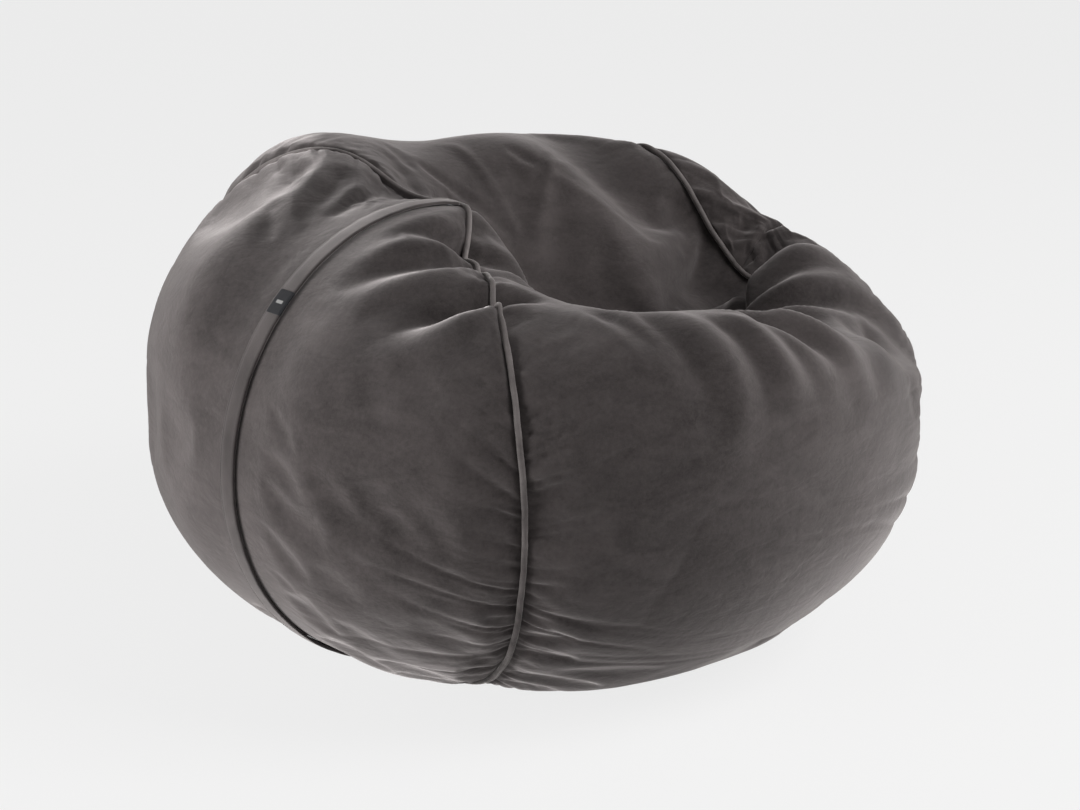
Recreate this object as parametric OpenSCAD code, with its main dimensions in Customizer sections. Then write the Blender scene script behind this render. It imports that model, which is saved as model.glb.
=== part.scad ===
// Bean bag chair: a round velvet cover over a zipped liner that holds foam beads.
// The origin is on the floor under the middle of the bag; the front faces -Y, the zip is on -X.
// The cover is a wide band that runs front, seat, back and base, and two round side panels,
// each in two halves. Piped ring seams join the band to the side panels.

/* [Bag] */
// Overall width and depth of the filled bag, over the zip flap
bag_width = 1100; // [900:10:1300]
// Height of the widest line above the floor
belt_height = 310; // [270:5:350]
// Rise of the crown above the widest line, before a sitter's marks
crown_rise = 320; // [280:5:360]
// How far the floor has flattened the round underside
foot_squash = 28; // [15:1:45]
// Fullness of the upper half, 2 is an ellipse and more is squarer
top_fullness = 3.45; // [2.6:0.05:4.2]
// Fullness of the lower half
base_fullness = 2.2; // [2:0.05:2.6]

/* [Seat] */
// Depth of the hollow that a sitter has pressed
seat_depth = 220; // [150:5:240]
// Drop of the front lip, where the legs lay
lip_drop = 135; // [90:5:150]
// Drop of the slope between the lip and the hollow
knee_drop = 205; // [160:5:230]
// Drop of the valley that leads to the far side
valley_drop = 150; // [90:5:165]
// Rise of the back, where the beads were pushed up
back_rise = 70; // [40:5:90]
// Rise of the arm on the zip side
zip_arm_rise = 45; // [20:5:60]
// Rise of the far arm behind the valley
far_arm_rise = 80; // [50:5:95]
// Rise of the far arm's front end, before the valley
far_front_rise = 40; // [20:5:60]
// Drop of the crease between the zip side arm and the lip
zip_crease_drop = 75; // [40:5:85]

/* [Cover] */
// Thickness of the velvet with its backing
cover_t = 2.5; // [1.5:0.1:4]
// Latitude of the ring seams at the front and back, in degrees from the middle of the band
ring_latitude = 46; // [42:1:50]
// How far the zip side ring has been pulled in over the top, in degrees
zip_ring_pull = 23; // [10:1:26]
// How far the far side ring has been pushed out over the top, in degrees
far_ring_push = 11; // [0:1:14]
// How much narrower the band is under the base, in degrees
base_narrowing = 8; // [2:1:12]

/* [Piping] */
// Width of the piping across the seam
piping_w = 8; // [5:0.5:12]
// How far the piping stands out of the cover
piping_proud = 5.5; // [3:0.5:8]
// Wall of the piping sleeve
piping_wall = 1.2; // [0.8:0.1:1.6]

/* [Cover zip] */
// Radius of the curve that the zip follows down the side
zip_radius = 320; // [300:5:340]
// Height of that curve's centre above the floor
zip_centre_height = 332; // [320:2:345]
// Angle below level where the zip ends, near the floor
zip_low_end = 74; // [62:1:76]
// Width of the slit between the two side panel halves
zip_slit = 20; // [16:1:24]
// Width of one tape
tape_w = 19; // [15:1:22]
// Thickness of the tapes
tape_t = 1; // [0.6:0.1:1.2]
// Width of one row of coil
coil_w = 2.4; // [2:0.1:3]
// Height of the coil above the tape
coil_t = 2.4; // [1.8:0.1:2.6]
// Gap between the two rows, where the post of the slider runs
chain_gap = 1.4; // [1.2:0.1:2]
// Length of the slider along the chain
slider_len = 14; // [10:1:18]
// Thickness of the plates of the slider
slider_plate = 1.1; // [0.8:0.1:1.3]

/* [Flap] */
// Width of the flap that hides the zip
flap_w = 30; // [28:1:36]
// Thickness of the folded flap
flap_t = 2.5; // [1.5:0.1:3.5]
// Height of the tunnel under the flap, above the cover
flap_lift = 3.8; // [3.6:0.1:5]
// Width of the sewn edge of the flap
flap_hem = 4; // [3:0.5:5]
// Length of the woven label along the flap
label_len = 36; // [20:1:50]
// Thickness of the label
label_t = 0.9; // [0.5:0.1:1.2]
// Angle above level at which the label sits
label_angle = 45; // [20:1:60]

/* [Liner] */
// Thickness of the liner cloth
liner_t = 0.8; // [0.6:0.1:1.2]
// Slack between the cover and the liner, away from the floor
liner_slack = 4; // [3:0.5:6]
// Depth to which the liner sinks below the cover along the zips
liner_sink = 12.5; // [12:0.5:16]
// Room between the liner and the beads, away from the floor
bead_slack = 6; // [5:0.5:10]
// Width of the slit in the liner
liner_slit = 16; // [14:1:20]

/* [Hidden] */
// Parts that can be built one at a time
// Part to build, or all
// Steps from the top of a ring seam to the base, for each half
steps = 24;
// Columns of one half of the band
band_cols = 7;
// Places of the side panel's columns, from the middle seam to the ring seam
side_cols = [0, 0.07, 0.3, 0.53, 0.77, 1];
// Smoothness of the zip's curves
$fn = 96;
// Gap that keeps neighbours that touch from sharing a face
seam_gap = 0.05;
// Gap between the piping and the edges of the panels beside it
edge_gap = 0.25;
// Gap between the slider and the chain that it rides on
run_gap = 0.4;

bag_r = bag_width / 2;
foot_depth = belt_height + foot_squash;
zip_x = zip_radius + flap_lift + flap_t - bag_r;
zip_z = zip_centre_height;
last_col = len(side_cols) - 1;

// ---------- the filled shape ----------

function blend(a, b, x) = let (t = min(1, max(0, (x - a) / (b - a)))) t * t * (3 - 2 * t);
function bell(x) = exp(-x * x / 2);
function unit(v) = v / norm(v);
function sum(v, i = 0) = i < len(v) ? v[i] + sum(v, i + 1) : 0;

// The marks a sitter leaves: place, reach and turn in shares of the bag's radius, and the lift
marks = [
    [0.20, 0.08, 0.25, 0.16, -19, -seat_depth],
    [0.455, -0.585, 0.45, 0.23, -19, -lip_drop],
    [0.265, -0.26, 0.35, 0.125, 23.5, -knee_drop],
    [0.665, 0.035, 0.12, 0.305, 25, -valley_drop],
    [-0.24, 0.70, 0.19, 0.545, -14, back_rise],
    [-0.82, 0.20, 0.315, 0.16, 20, zip_arm_rise],
    [0.56, 0.275, 0.335, 0.33, 0, far_arm_rise],
    [0.65, -0.29, 0.255, 0.155, 17, far_front_rise],
    [-0.17, -0.16, 0.275, 0.16, -34, -zip_crease_drop]];

// A full round puck, as the bag stands before anyone sits on it
function puck(d) =
    let (n = d.z > 0 ? top_fullness : base_fullness,
         c = d.z > 0 ? crown_rise : foot_depth,
         s = pow(pow(norm([d.x, d.y]) / bag_r, n) + pow(abs(d.z) / c, n), -1 / n))
    d * s + [0, 0, belt_height];

function mark_lift(p, m) =
    let (x = p.x / bag_r - m[0], y = p.y / bag_r - m[1],
         u = x * cos(m[4]) + y * sin(m[4]), v = y * cos(m[4]) - x * sin(m[4]))
    m[5] * bell(norm([u / m[2], v / m[3]]));

function pressed(p) =
    let (share = blend(belt_height + 10, belt_height + 270, p.z))
    p + [0, 0, share * sum([for (m = marks) mark_lift(p, m)])];

// Along the zip the side takes the zip's round curve
function along_zip(p) =
    let (a = atan2(p.z - zip_z, zip_x - p.x), r = norm([p.x - zip_x, p.z - zip_z]),
         k = (1 - blend(30, 170, abs(p.y))) * (1 - blend(104, 124, a))
             * (1 - blend(zip_low_end + 4, zip_low_end + 16, -a)),
         q = r + k * (zip_radius - r))
    p.x > 0 ? p : [zip_x - q * cos(a), p.y, zip_z + q * sin(a)];

function on_floor(p) = [p.x, p.y, max(0, p.z)];
function skin(d) = on_floor(along_zip(pressed(puck(d))));

// Outward direction of the skin
function out(d) =
    let (s = abs(d.z) < 0.9 * norm(d) ? [0, 0, 1] : [1, 0, 0],
         a = unit(cross(s, d)) * 0.02, b = cross(unit(d), a))
    unit(cross(skin(unit(d) + a) - skin(unit(d) - a), skin(unit(d) + b) - skin(unit(d) - b)));

// ---------- seams and grids ----------

// Direction of a point: turn runs 0 front, 90 top, 180 back, 270 base; lat runs toward +X
function dir(turn, lat) = [sin(lat), -cos(lat) * cos(turn), cos(lat) * sin(turn)];
function gap_to(turn, at) = let (g = abs(turn - at) % 360) min(g, 360 - g);

// Latitude of a ring seam, side is -1 for the zip side and 1 for the far side
function ring_lat(turn, side) = ring_latitude
    - base_narrowing * bell(gap_to(turn, 270) / 45)
    + (side < 0 ? -zip_ring_pull * bell(gap_to(turn, 120) / 50)
                : far_ring_push * bell(gap_to(turn, 75) / 45));
function ring_dir(turn, side) = dir(turn, side * ring_lat(turn, side));
function ring_across(turn, side) =
    unit(cross(skin(ring_dir(turn + 1, side)) - skin(ring_dir(turn - 1, side)),
               out(ring_dir(turn, side))));
// Edge of a panel beside the piping, to is 1 toward +X
function ring_edge(turn, side, to) = on_floor(skin(ring_dir(turn, side))
    + to * (piping_w / 2 + edge_gap) * ring_across(turn, side));

// Turn of step i, half is -1 for the front and 1 for the back
function turn_at(i, half) = 90 + half * 180 * i / steps;

// Direction on the middle seam of a side panel, from its top end to its low end
function mid_dir(i, side) =
    let (top = 90 - ring_lat(90, side), low = ring_lat(270, side) - 90,
         a = top + (low - top) * i / steps)
    [side * cos(a), 0, sin(a)];
function arc_mix(a, b, t) =
    let (w = acos(a * b)) (sin(w * (1 - t)) * a + sin(w * t) * b) / sin(w);
function side_dir(i, v, side, half) =
    arc_mix(mid_dir(i, side), unit(ring_dir(turn_at(i, half), side)), v);

// Latitude of column j of the band, 0 at the zip side ring and the last at the far ring
function band_lat(turn, j) = j < band_cols
    ? -ring_lat(turn, -1) * (1 - j / band_cols)
    : ring_lat(turn, 1) * (j / band_cols - 1);

// Triangles of a grid of rows that starts at a given number
function grid_faces(rows, cols, first = 0) = [for (i = [0:rows - 2], j = [0:cols - 2])
    let (a = first + i * cols + j, b = a + cols)
    each [[a, a + 1, b + 1], [a, b + 1, b]]];

function turned(face) = [for (i = [len(face) - 1:-1:0]) face[i]];

// A cloth of even thickness: the outer points, the inner points, the faces of the outer side
// and the outline that runs round them
module cloth(outer, inner, faces, rim, flip) {
    n = len(outer);
    sides = [for (i = [0:len(rim) - 1]) let (a = rim[i], b = rim[(i + 1) % len(rim)])
        each [[a, b, b + n], [a, b + n, a + n]]];
    all = concat(faces, [for (f = faces) turned([for (k = f) k + n])],
        [for (f = sides) turned(f)]);
    polyhedron(concat(outer, inner), flip ? [for (f = all) turned(f)] : all, 4);
}

// ---------- band ----------

module band(half) {
    cols = 2 * band_cols + 1;
    shift = [0, half * seam_gap / 2, 0];
    dirs = [for (i = [0:steps], j = [0:cols - 1])
        dir(turn_at(i, half), band_lat(turn_at(i, half), j))];
    outer = [for (i = [0:steps], j = [0:cols - 1])
        let (t = turn_at(i, half))
        (j == 0 ? ring_edge(t, -1, 1) : j == cols - 1 ? ring_edge(t, 1, -1)
            : skin(dirs[i * cols + j])) + (i == 0 || i == steps ? shift : [0, 0, 0])];
    inner = [for (k = [0:len(outer) - 1]) outer[k] - cover_t * out(dirs[k])];
    rim = concat([for (j = [0:cols - 1]) j], [for (i = [1:steps]) i * cols + cols - 1],
        [for (j = [cols - 2:-1:0]) steps * cols + j], [for (i = [steps - 1:-1:1]) i * cols]);
    cloth(outer, inner, grid_faces(steps + 1, cols), rim, half > 0);
}

// ---------- side panels ----------

// The numbers of a side panel's points: 0 is the top corner, then rows, then the low corner
function side_faces(rows, cols) = concat(
    [for (k = [0:cols - 2]) [0, 1 + k, 1 + k + 1]],
    [for (f = grid_faces(rows, cols, 1)) turned(f)],
    let (e = 1 + rows * cols, a = e - cols) [for (k = [0:cols - 2]) [e, a + k + 1, a + k]]);
function side_rim(rows, cols) = concat([0], [for (i = [0:rows - 1]) 1 + i * cols],
    [1 + rows * cols], [for (i = [rows - 1:-1:0]) i * cols + cols]);

// Half the width of a slit beside a point of the middle seam: it closes below the zip
function half_slit(p, slit) = slit / 2
    * (slit < 1 ? 1 : 1 - 0.995 * blend(zip_low_end, zip_low_end + 5, atan2(zip_z - p.z, zip_x - p.x)));

// A corner sits on the ring seam, half a slit away from the middle
function corner(i, next, side, half, slit) =
    let (a = ring_edge(turn_at(i, half), side, side), b = ring_edge(turn_at(next, half), side, side))
    a + (b - a) * half_slit(a, slit) / abs(b.y - a.y);

module side_panel(side, half, slit) {
    rows = steps - 1;
    cols = last_col + 1;
    dirs = concat([ring_dir(90, side)],
        [for (i = [1:rows], v = side_cols) side_dir(i, v, side, half)],
        [ring_dir(270, side)]);
    outer = concat([corner(0, 1, side, half, slit)],
        [for (i = [1:rows], k = [0:last_col]) let (v = side_cols[k])
            k == last_col ? ring_edge(turn_at(i, half), side, side)
            : let (p = skin(side_dir(i, v, side, half)))
                p + [0, half * half_slit(p, slit) * pow(1 - v, 2), 0]],
        [corner(steps, rows, side, half, slit)]);
    inner = [for (k = [0:len(outer) - 1]) outer[k] - cover_t * out(dirs[k])];
    cloth(outer, inner, side_faces(rows, cols), side_rim(rows, cols), side * half > 0);
}

// ---------- piping ----------

// Section of the piping across the seam and out of it, flat where the floor presses it
function piping_points(turn, side, keep, push) =
    let (d = ring_dir(turn, side), p = skin(d), n = out(d), b = ring_across(turn, side),
         proud = n.z < 0 ? min(piping_proud, p.z / -n.z) : piping_proud,
         w = piping_w / 2, mid = (proud - cover_t) / 2,
         shape = [[w, -cover_t], [w, proud / 2], [w / 2, proud],
                  [-w / 2, proud], [-w, proud / 2], [-w, -cover_t]])
    [for (s = shape) let (x = s.x * keep, y = mid + (s.y - mid) * keep)
        on_floor(p + b * x + n * y) + push * cross(n, b)];

function tube_walls(rows, cols, first) = [for (i = [0:rows - 2], k = [0:cols - 1])
    let (a = first + i * cols + k, b = first + i * cols + (k + 1) % cols)
    each [[a, b, b + cols], [a, b + cols, a + cols]]];

function ring_sections(side, keep) = [for (i = [0:2 * steps])
    each piping_points(i * 180 / steps - 90, side, keep,
        i == 0 ? seam_gap : i == 2 * steps ? -seam_gap : 0)];

module piping_sleeve(side) {
    rows = 2 * steps + 1;
    points = concat(ring_sections(side, 1), ring_sections(side, 1 - 2 * piping_wall / piping_w));
    n = rows * 6;
    ends = [for (s = [0, n - 6], k = [0:5]) let (a = s + k, b = s + (k + 1) % 6)
        each (s == 0 ? [[a, a + n, b + n], [a, b + n, b]] : [[a, b + n, a + n], [a, b, b + n]])];
    polyhedron(points, concat(tube_walls(rows, 6, 0),
        [for (f = tube_walls(rows, 6, n)) turned(f)], ends), 4);
}

module piping_cord(side) {
    rows = 2 * steps + 1;
    points = ring_sections(side, 1 - 2 * (piping_wall + seam_gap) / piping_w);
    polyhedron(points, concat(tube_walls(rows, 6, 0),
        [[for (k = [5:-1:0]) k], [for (k = [0:5]) rows * 6 - 6 + k]]), 4);
}

// ---------- zips ----------

// Sweep a profile of radius and Y along the zip's curve, between two angles above level
module zip_sweep(from, to) {
    translate([zip_x, 0, zip_z]) rotate([90, 0, 0]) rotate([0, 0, 180 - to])
        rotate_extrude(angle = to - from) children();
}
// A rectangle of the profile, by radius and by distance from the middle of the zip
module bar(r0, r1, y0, y1) {
    translate([r0, -y1]) square([r1 - r0, y1 - y0]);
}

// Least radius of the inner side of a cloth that lies this deep along the middle seam
function seat_radius(depth) = min([for (i = [2:steps - 4])
    let (a = skin(mid_dir(i, -1)), b = skin(mid_dir(i + 1, -1)), m = (a + b) / 2)
    norm([m.x - zip_x, m.z - zip_z])]) - depth - edge_gap;

top_point = skin(ring_dir(90, -1));
// Angle at which the zip meets the ring seam, less room for the piping
zip_high_end = atan2(top_point.z - zip_z, zip_x - top_point.x)
    - (piping_w / 2 + 3) / zip_radius * 180 / PI;
function arc_of(length) = length / zip_radius * 180 / PI;

stop_len = 5;
// Angle by which the liner's zip ends short of the cover's, where its slit narrows
liner_short = 5;
stop_t = 1;
tape_top = seat_radius(cover_t);
liner_tape_top = seat_radius(liner_sink + liner_t);

module tape(half, top, short = 0) {
    y = chain_gap / 2;
    zip_sweep(-zip_low_end, zip_high_end - short)
        bar(top - tape_t, top, half < 0 ? -y - tape_w : y, half < 0 ? -y : y + tape_w);
}

module coil(half, top, short = 0) {
    y = chain_gap / 2;
    zip_sweep(arc_of(4) - zip_low_end, zip_high_end - short - arc_of(4))
        bar(top, top + coil_t, half < 0 ? -y - coil_w : y, half < 0 ? -y : y + coil_w);
}

// A stop is a small clip over both rows
module stop(at, top) {
    w = chain_gap / 2 + coil_w;
    zip_sweep(at - arc_of(stop_len) / 2, at + arc_of(stop_len) / 2) {
        bar(top + coil_t, top + coil_t + stop_t, -w - stop_t, w + stop_t);
        bar(top, top + coil_t, -w - stop_t, -w);
        bar(top, top + coil_t, w, w + stop_t);
    }
}
function low_stop_at() = arc_of(4 + stop_len / 2) - zip_low_end;
function high_stop_at() = zip_high_end - arc_of(4 + stop_len / 2);
function parked_at() = low_stop_at() + arc_of((stop_len + slider_len) / 2 + 1);

// The slider has no pull: a plate and a saddle joined by a post between the rows, and a bridge
module slider(top) {
    w = chain_gap / 2 + coil_w + run_gap;
    over = top + coil_t + run_gap;
    under = top - tape_t - run_gap;
    a = arc_of(slider_len) / 2;
    zip_sweep(parked_at() - a, parked_at() + a) {
        bar(under - slider_plate, under, -w, w);
        bar(under, over, -chain_gap / 2 + 0.3, chain_gap / 2 - 0.3);
        bar(over, over + slider_plate, -w - 1, w + 1);
        bar(top + run_gap, over, -w - 1, -w);
        bar(top + run_gap, over, w, w + 1);
    }
    for (s = [-1, 1])
        zip_sweep(parked_at() + s * a * 0.6 - a * 0.15, parked_at() + s * a * 0.6 + a * 0.15)
            bar(over + slider_plate / 2, over + slider_plate + 0.9, -1, 1);
    zip_sweep(parked_at() - a * 0.75, parked_at() + a * 0.75)
        bar(over + slider_plate + 0.8, over + slider_plate + 1.6, -1, 1);
}

// ---------- liner and filling ----------

// Share of the trench that makes room for the zips, 1 along their curve and 0 away from it
function trench(p) =
    let (a = atan2(p.z - zip_z, zip_x - p.x))
    p.x > 0 ? 0 : (1 - blend(28, 110, abs(p.y))) * (1 - blend(104, 120, a))
        * (1 - blend(zip_low_end + 3, zip_low_end + 18, -a));
// Depth below the cover's outer side, least where the bag lies on the floor
function liner_depth(p) =
    let (flat = cover_t + seam_gap + liner_slack * blend(0, 150, p.z))
    flat + max(0, liner_sink - flat) * trench(p);
// Points that lie deeper than the liner's outer side, by an even step and by the beads' slack
function inside(d, step, slack = 0) =
    let (p = skin(d), share = max(blend(0, 150, p.z), trench(p)))
    p - (liner_depth(p) + step + slack * share) * out(d);

// Points of one half: the band's rows, then the zip side's rows, then the far side's rows
function half_points(half, step, slack, slit, split) = concat(
    [for (i = [0:steps], j = [0:2 * band_cols]) let (t = turn_at(i, half))
        let (p = inside(dir(t, band_lat(t, j)), step, slack))
        i == 0 || i == steps ? [p.x, half * split, p.z] : p],
    [for (s = [-1, 1], i = [1:steps - 1], k = [0:last_col - 1])
        let (v = side_cols[k], p = inside(side_dir(i, v, s, half), step, slack),
             w = s < 0 ? half_slit(p, slit) : 0, y = half * w * pow(1 - v, 2))
        k == 0 ? [p.x, half * max(w, split), p.z]
            : p + [0, y, 0]]);

// Number of a point of a side's grid in that list, column last_col is on the ring seam
function half_point(i, k, s) = (k == last_col || i == 0 || i == steps)
    ? i * (2 * band_cols + 1) + (s < 0 ? 0 : 2 * band_cols)
    : (steps + 1) * (2 * band_cols + 1) + (s < 0 ? 0 : (steps - 1) * last_col)
        + (i - 1) * last_col + k;
function half_side_faces(s) = [for (i = [0:steps - 1], k = [0:last_col - 1])
    let (a = half_point(i, k, s), b = half_point(i, k + 1, s),
         c = half_point(i + 1, k + 1, s), e = half_point(i + 1, k, s))
    each (i == 0 ? [[a, c, e]] : i == steps - 1 ? [[a, b, c]] : [[a, b, c], [a, c, e]])];
half_faces = concat(grid_faces(steps + 1, 2 * band_cols + 1),
    half_side_faces(-1), [for (f = half_side_faces(1)) turned(f)]);
half_rim = concat([for (j = [0:2 * band_cols]) j],
    [for (i = [1:steps - 1]) half_point(i, 0, 1)],
    [for (j = [2 * band_cols:-1:0]) steps * (2 * band_cols + 1) + j],
    [for (i = [steps - 1:-1:1]) half_point(i, 0, -1)]);

module liner(half) {
    cloth(half_points(half, 0, 0, liner_slit, seam_gap),
        half_points(half, liner_t, 0, liner_slit, seam_gap), half_faces, half_rim, half > 0);
}

// Both halves of the beads share the points of the rim, which lie in the middle plane
module beads() {
    front = half_points(-1, liner_t + seam_gap, bead_slack, 0, 0);
    n = len(front);
    on_rim = [for (k = [0:n - 1]) len(search(k, half_rim)) > 0];
    polyhedron(concat(front, half_points(1, liner_t + seam_gap, bead_slack, 0, 0)),
        concat(half_faces, [for (f = half_faces) turned([for (k = f) on_rim[k] ? k : k + n])]), 4);
}

// ---------- parts ----------

module band_front() { color("#55504e") band(-1); }
module band_back() { color("#55504e") band(1); }
module zip_panel_front() { color("#5a5553") side_panel(-1, -1, zip_slit); }
module zip_panel_back() { color("#5a5553") side_panel(-1, 1, zip_slit); }
module far_panel_front() { color("#4f4a48") side_panel(1, -1, seam_gap); }
module far_panel_back() { color("#4f4a48") side_panel(1, 1, seam_gap); }
module zip_piping() { color("#6b6562") piping_sleeve(-1); }
module far_piping() { color("#6b6562") piping_sleeve(1); }
module zip_piping_cord() { color("#d9d4c8") piping_cord(-1); }
module far_piping_cord() { color("#d9d4c8") piping_cord(1); }

module zip_tape_front() { color("#3a3634") tape(-1, tape_top); }
module zip_tape_back() { color("#3a3634") tape(1, tape_top); }
module zip_coil_front() { color("#2e2b2a") coil(-1, tape_top); }
module zip_coil_back() { color("#2e2b2a") coil(1, tape_top); }
module zip_top_stop() { color("#8a8a8c") stop(high_stop_at(), tape_top); }
module zip_low_stop() { color("#8a8a8c") stop(low_stop_at(), tape_top); }
module zip_slider() { color("#77777a") slider(tape_top); }

// The flap is sewn along its back edge and lies free along its front edge
module zip_flap() {
    y = flap_w / 2;
    r = zip_radius + 3 * seam_gap;
    color("#4d4846") zip_sweep(-zip_low_end - 4, zip_high_end - 0.6) {
        bar(zip_radius + flap_lift, zip_radius + flap_lift + flap_t, -y, y);
        bar(r, zip_radius + flap_lift, y - flap_hem, y);
        bar(r + 0.3, zip_radius + flap_lift, -y, -y + flap_t / 2);
    }
}

// The label is folded round the free edge of the flap
module label() {
    y = flap_w / 2;
    r = zip_radius + flap_lift + flap_t;
    a = arc_of(label_len) / 2;
    color("#161517") zip_sweep(label_angle - a, label_angle + a) {
        bar(r, r + label_t, -y - label_t, y - flap_hem);
        bar(zip_radius + flap_lift, r, -y - label_t, -y);
    }
}

module liner_front() { color("#cfccc4") liner(-1); }
module liner_back() { color("#cfccc4") liner(1); }
module liner_tape_front() { color("#bdbab2") tape(-1, liner_tape_top, liner_short); }
module liner_tape_back() { color("#bdbab2") tape(1, liner_tape_top, liner_short); }
module liner_coil_front() { color("#b0ada6") coil(-1, liner_tape_top, liner_short); }
module liner_coil_back() { color("#b0ada6") coil(1, liner_tape_top, liner_short); }
module liner_top_stop() { color("#9a9a9c") stop(high_stop_at() - liner_short, liner_tape_top); }
module liner_low_stop() { color("#9a9a9c") stop(low_stop_at(), liner_tape_top); }
module liner_slider() { color("#9a9a9c") slider(liner_tape_top); }
module bead_fill() { color("#f2f1ec") beads(); }

band_front();
band_back();
zip_panel_front();
zip_panel_back();
far_panel_front();
far_panel_back();
zip_piping();
zip_piping_cord();
far_piping();
far_piping_cord();
zip_tape_front();
zip_tape_back();
zip_coil_front();
zip_coil_back();
zip_top_stop();
zip_low_stop();
zip_slider();
zip_flap();
label();
liner_front();
liner_back();
liner_tape_front();
liner_tape_back();
liner_coil_front();
liner_coil_back();
liner_top_stop();
liner_low_stop();
liner_slider();
bead_fill();
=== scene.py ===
# Bean bag chair: a round velvet cover over a zipped liner that holds foam beads.
# The cover's cut is the CAD's: a wide band, two round side panels in halves, piped ring seams.
import math

import bpy
import numpy as np
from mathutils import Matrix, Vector


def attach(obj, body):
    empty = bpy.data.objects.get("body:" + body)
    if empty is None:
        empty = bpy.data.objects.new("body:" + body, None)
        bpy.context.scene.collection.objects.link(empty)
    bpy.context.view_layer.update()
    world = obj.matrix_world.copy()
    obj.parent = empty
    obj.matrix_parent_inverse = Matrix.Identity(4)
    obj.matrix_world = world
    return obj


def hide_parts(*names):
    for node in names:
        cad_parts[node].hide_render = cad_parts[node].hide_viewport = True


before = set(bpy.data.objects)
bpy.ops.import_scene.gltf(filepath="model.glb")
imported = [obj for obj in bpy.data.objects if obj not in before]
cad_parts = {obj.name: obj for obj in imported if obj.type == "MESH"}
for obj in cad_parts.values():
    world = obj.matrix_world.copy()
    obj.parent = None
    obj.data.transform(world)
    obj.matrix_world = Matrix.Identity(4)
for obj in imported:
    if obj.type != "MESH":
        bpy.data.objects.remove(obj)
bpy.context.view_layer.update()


# ---------- camera ----------
# A person who stands about four metres off, at the corner between the front and the zip side,
# looks slightly down at the bag.
sight = Vector((0, 0, 0.31))
sight_turn, sight_rise, sight_far = math.radians(-42), math.radians(18), 4.0
sight_back = Vector((math.sin(sight_turn) * math.cos(sight_rise),
                     -math.cos(sight_turn) * math.cos(sight_rise), math.sin(sight_rise)))
eye = bpy.data.objects.new("eye", bpy.data.cameras.new("eye"))
bpy.context.scene.collection.objects.link(eye)
eye.location = sight + sight_back * sight_far
eye.rotation_mode = "QUATERNION"
eye.rotation_quaternion = (-sight_back).to_track_quat("-Z", "Y")
eye.data.lens, eye.data.sensor_width = 92.2, 36
eye.data.shift_x, eye.data.shift_y = 0.0037, 0.0074
bpy.context.scene.camera = eye


# ---------- the filled shape ----------
# What a bag full of beads does: a round puck, pressed where people have sat on it, flat on the
# floor, and round along the zip. It is the CAD's own shape, in metres, for many points at once.
bag_r, belt, crown, foot = 0.55, 0.310, 0.320, 0.338
zip_r, zip_x, zip_z, zip_low = 0.320, -0.2237, 0.332, 74
# place, reach and turn of each mark in shares of the bag's radius, and its lift
sitter_marks = [
    (0.20, 0.08, 0.25, 0.16, -19, -0.220), (0.455, -0.585, 0.45, 0.23, -19, -0.135),
    (0.265, -0.26, 0.35, 0.125, 23.5, -0.205), (0.665, 0.035, 0.12, 0.305, 25, -0.150),
    (-0.24, 0.70, 0.19, 0.545, -14, 0.070), (-0.82, 0.20, 0.315, 0.16, 20, 0.045),
    (0.56, 0.275, 0.335, 0.33, 0, 0.080), (0.65, -0.29, 0.255, 0.155, 17, 0.040),
    (-0.17, -0.16, 0.275, 0.16, -34, -0.075)]


def blend(a, b, x):
    t = np.clip((x - a) / (b - a), 0, 1)
    return t * t * (3 - 2 * t)


def bell(x):
    return np.exp(-x * x / 2)


def unit(v):
    return v / np.maximum(np.linalg.norm(v, axis=-1, keepdims=True), 1e-12)


def skin(d):
    """The point of the filled shape that lies in direction d from its middle."""
    flat = np.hypot(d[..., 0], d[..., 1])
    full = np.where(d[..., 2] > 0, 3.45, 2.2)
    high = np.where(d[..., 2] > 0, crown, foot)
    reach = ((flat / bag_r) ** full + (np.abs(d[..., 2]) / high) ** full) ** (-1 / full)
    x, y, z = (d * reach[..., None]).transpose(-1, *range(d.ndim - 1))
    z = z + belt
    share, lift = blend(belt + 0.010, belt + 0.270, z), 0
    for mx, my, long, wide, turned, rise in sitter_marks:
        a = math.radians(turned)
        gx, gy = x / bag_r - mx, y / bag_r - my
        along, across = gx * math.cos(a) + gy * math.sin(a), gy * math.cos(a) - gx * math.sin(a)
        lift = lift + rise * bell(np.hypot(along / long, across / wide))
    z = z + share * lift
    angle, far = np.arctan2(z - zip_z, zip_x - x), np.hypot(x - zip_x, z - zip_z)
    deg = np.degrees(angle)
    k = ((1 - blend(0.030, 0.170, np.abs(y))) * (1 - blend(104, 124, deg))
         * (1 - blend(zip_low + 4, zip_low + 16, -deg)) * (x <= 0))
    q = far + k * (zip_r - far)
    x, z = np.where(x > 0, x, zip_x - q * np.cos(angle)), np.where(x > 0, z, zip_z + q * np.sin(angle))
    return np.stack([x, y, np.maximum(z, 0)], -1)


def out(d):
    """Outward direction of the skin."""
    d = unit(d)
    side = np.where(np.abs(d[..., 2:]) < 0.9, [0.0, 0, 1], [1.0, 0, 0])
    a = unit(np.cross(side, d)) * 0.02
    b = np.cross(d, a)
    return unit(np.cross(skin(d + a) - skin(d - a), skin(d + b) - skin(d - b)))


def direction(turn, lat):
    """turn runs 0 front, 90 top, 180 back, 270 base; lat runs toward +X."""
    turn, lat = np.radians(turn), np.radians(lat)
    return np.stack([np.sin(lat) + 0 * turn, -np.cos(lat) * np.cos(turn), np.cos(lat) * np.sin(turn)], -1)


def turn_gap(turn, at):
    g = np.abs(np.asarray(turn) - at) % 360
    return np.minimum(g, 360 - g)


def ring_lat(turn, side):
    pull = (-23 * bell(turn_gap(turn, 120) / 50) if side < 0 else 11 * bell(turn_gap(turn, 75) / 45))
    return side * (46 - 8 * bell(turn_gap(turn, 270) / 45) + pull)


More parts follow.
